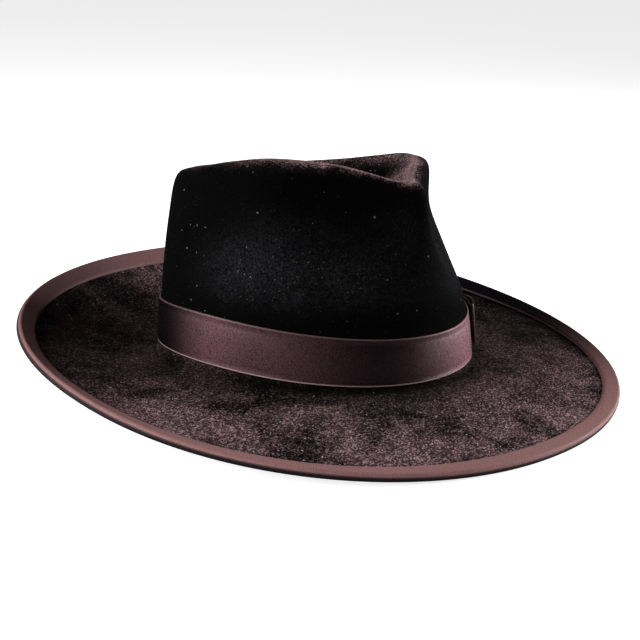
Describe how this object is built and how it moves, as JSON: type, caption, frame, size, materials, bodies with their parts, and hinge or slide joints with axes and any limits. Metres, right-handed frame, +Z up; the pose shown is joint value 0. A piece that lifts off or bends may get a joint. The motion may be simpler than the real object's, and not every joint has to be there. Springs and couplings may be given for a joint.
{
  "type": "gangster hat",
  "caption": "Soft felt hat with a creased, pinched crown, a wide snapped brim with ribbon-bound edge, and a satin band with a flat side bow.",
  "frame": {"origin": "centre of the bounding box's bottom, on the surface on which the hat rests", "axes": "+Z up from the surface, -Y the way the front of the hat looks, +X to the wearer's left, where the bow is"},
  "size_m": [0.3498, 0.3758, 0.1367],
  "materials": {
    "felt": "dark brown wool felt with a short matted nap and lint",
    "binding_ribbon": "brown ribbon with a soft sheen",
    "band_satin": "ribbed satin ribbon with a broad sheen",
    "bow_satin": "ribbed satin ribbon with a broad sheen"
  },
  "bodies": {
    "root": {"felt_body": "felt", "brim_binding": "binding_ribbon", "hat_band": "band_satin", "bow_loops": "bow_satin", "bow_tail": "bow_satin", "bow_knot": "bow_satin"}
  },
  "joints": []
}
